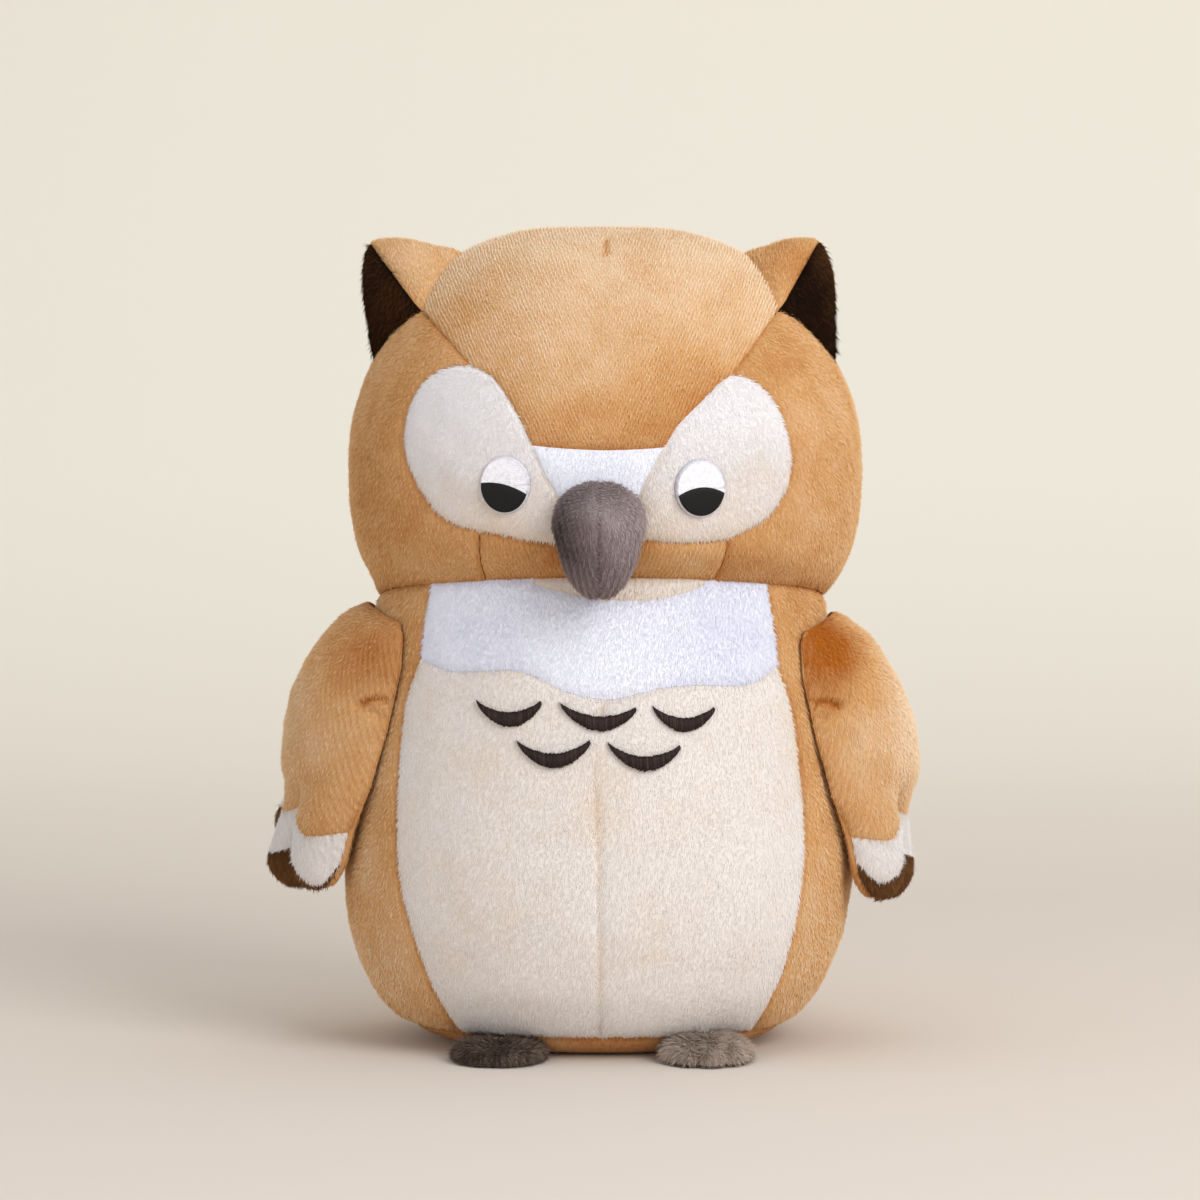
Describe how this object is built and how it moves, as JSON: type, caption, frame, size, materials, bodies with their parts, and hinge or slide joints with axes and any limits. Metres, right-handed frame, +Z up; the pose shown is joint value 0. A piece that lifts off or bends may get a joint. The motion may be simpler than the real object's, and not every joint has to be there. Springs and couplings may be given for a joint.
{
  "type": "plush owl",
  "caption": "Soft toy owl with a rounded body and head, short pointed ears, a hooked beak, flat feet, and stuffed wings that swing out at the shoulder seams.",
  "frame": {"origin": "middle of the flat base that the toy stands on", "axes": "+Z up through the crown; the toy faces -Y; its own left is +X"},
  "size_m": [0.2156, 0.169, 0.2705],
  "materials": {
    "caramel_plush": "short pile, caramel",
    "cream_plush": "short pile, cream",
    "white_plush": "short pile, bright white",
    "brown_plush": "short pile, dark brown",
    "tip_plush": "short pile, brown",
    "grey_plush": "short pile, dark grey",
    "white_felt": "felt",
    "black_thread": "satin stitch, black",
    "brown_thread": "satin stitch, dark brown",
    "fibre_filling": "loose fibre"
  },
  "bodies": {
    "root": {"base_panel": "caramel_plush", "beak_left_panel": "grey_plush", "beak_right_panel": "grey_plush", "beak_stuffing": "fibre_filling", "bib_panel": "white_plush", "body_stuffing": "fibre_filling", "brow_patch": "white_plush", "chin_panel": "caramel_plush", "collar_panel": "cream_plush", "crescent_1": "brown_thread", "crescent_2": "brown_thread", "crescent_3": "brown_thread", "crescent_4": "brown_thread", "crescent_5": "brown_thread", "forehead_panel": "caramel_plush", "head_stuffing": "fibre_filling", "left_belly_panel": "cream_plush", "left_cheek_panel": "caramel_plush", "left_ear_cover": "caramel_plush", "left_ear_front": "brown_plush", "left_ear_stuffing": "fibre_filling", "left_eye_disc": "white_felt", "left_eye_patch": "cream_plush", "left_foot_sole": "grey_plush", "left_foot_stuffing": "fibre_filling", "left_foot_upper": "grey_plush", "left_head_back_panel": "caramel_plush", "left_pupil": "black_thread", "left_side_panel": "caramel_plush", "right_belly_panel": "cream_plush", "right_cheek_panel": "caramel_plush", "right_ear_cover": "caramel_plush", "right_ear_front": "brown_plush", "right_ear_stuffing": "fibre_filling", "right_eye_disc": "white_felt", "right_eye_patch": "cream_plush", "right_foot_sole": "grey_plush", "right_foot_stuffing": "fibre_filling", "right_foot_upper": "grey_plush", "right_head_back_panel": "caramel_plush", "right_pupil": "black_thread", "right_side_panel": "caramel_plush"},
    "left_wing": {"left_wing_brown_tip_1": "tip_plush", "left_wing_brown_tip_2": "tip_plush", "left_wing_brown_tip_3": "tip_plush", "left_wing_lining_panel": "caramel_plush", "left_wing_outer_panel": "caramel_plush", "left_wing_stuffing": "fibre_filling", "left_wing_white_band_1": "white_plush", "left_wing_white_band_2": "white_plush", "left_wing_white_band_3": "white_plush"},
    "right_wing": {"right_wing_brown_tip_1": "tip_plush", "right_wing_brown_tip_2": "tip_plush", "right_wing_brown_tip_3": "tip_plush", "right_wing_lining_panel": "caramel_plush", "right_wing_outer_panel": "caramel_plush", "right_wing_stuffing": "fibre_filling", "right_wing_white_band_1": "white_plush", "right_wing_white_band_2": "white_plush", "right_wing_white_band_3": "white_plush"}
  },
  "joints": [
    {"name": "left_wing_swing", "type": "hinge", "parent": "root", "child": "left_wing", "pos_m": [0.07557, 0, 0.1468], "axis": [0, -1, 0], "range_deg": [0, 65]},
    {"name": "right_wing_swing", "type": "hinge", "parent": "root", "child": "right_wing", "pos_m": [-0.07557, 0, 0.1468], "axis": [0, 1, 0], "range_deg": [0, 65]}
  ]
}
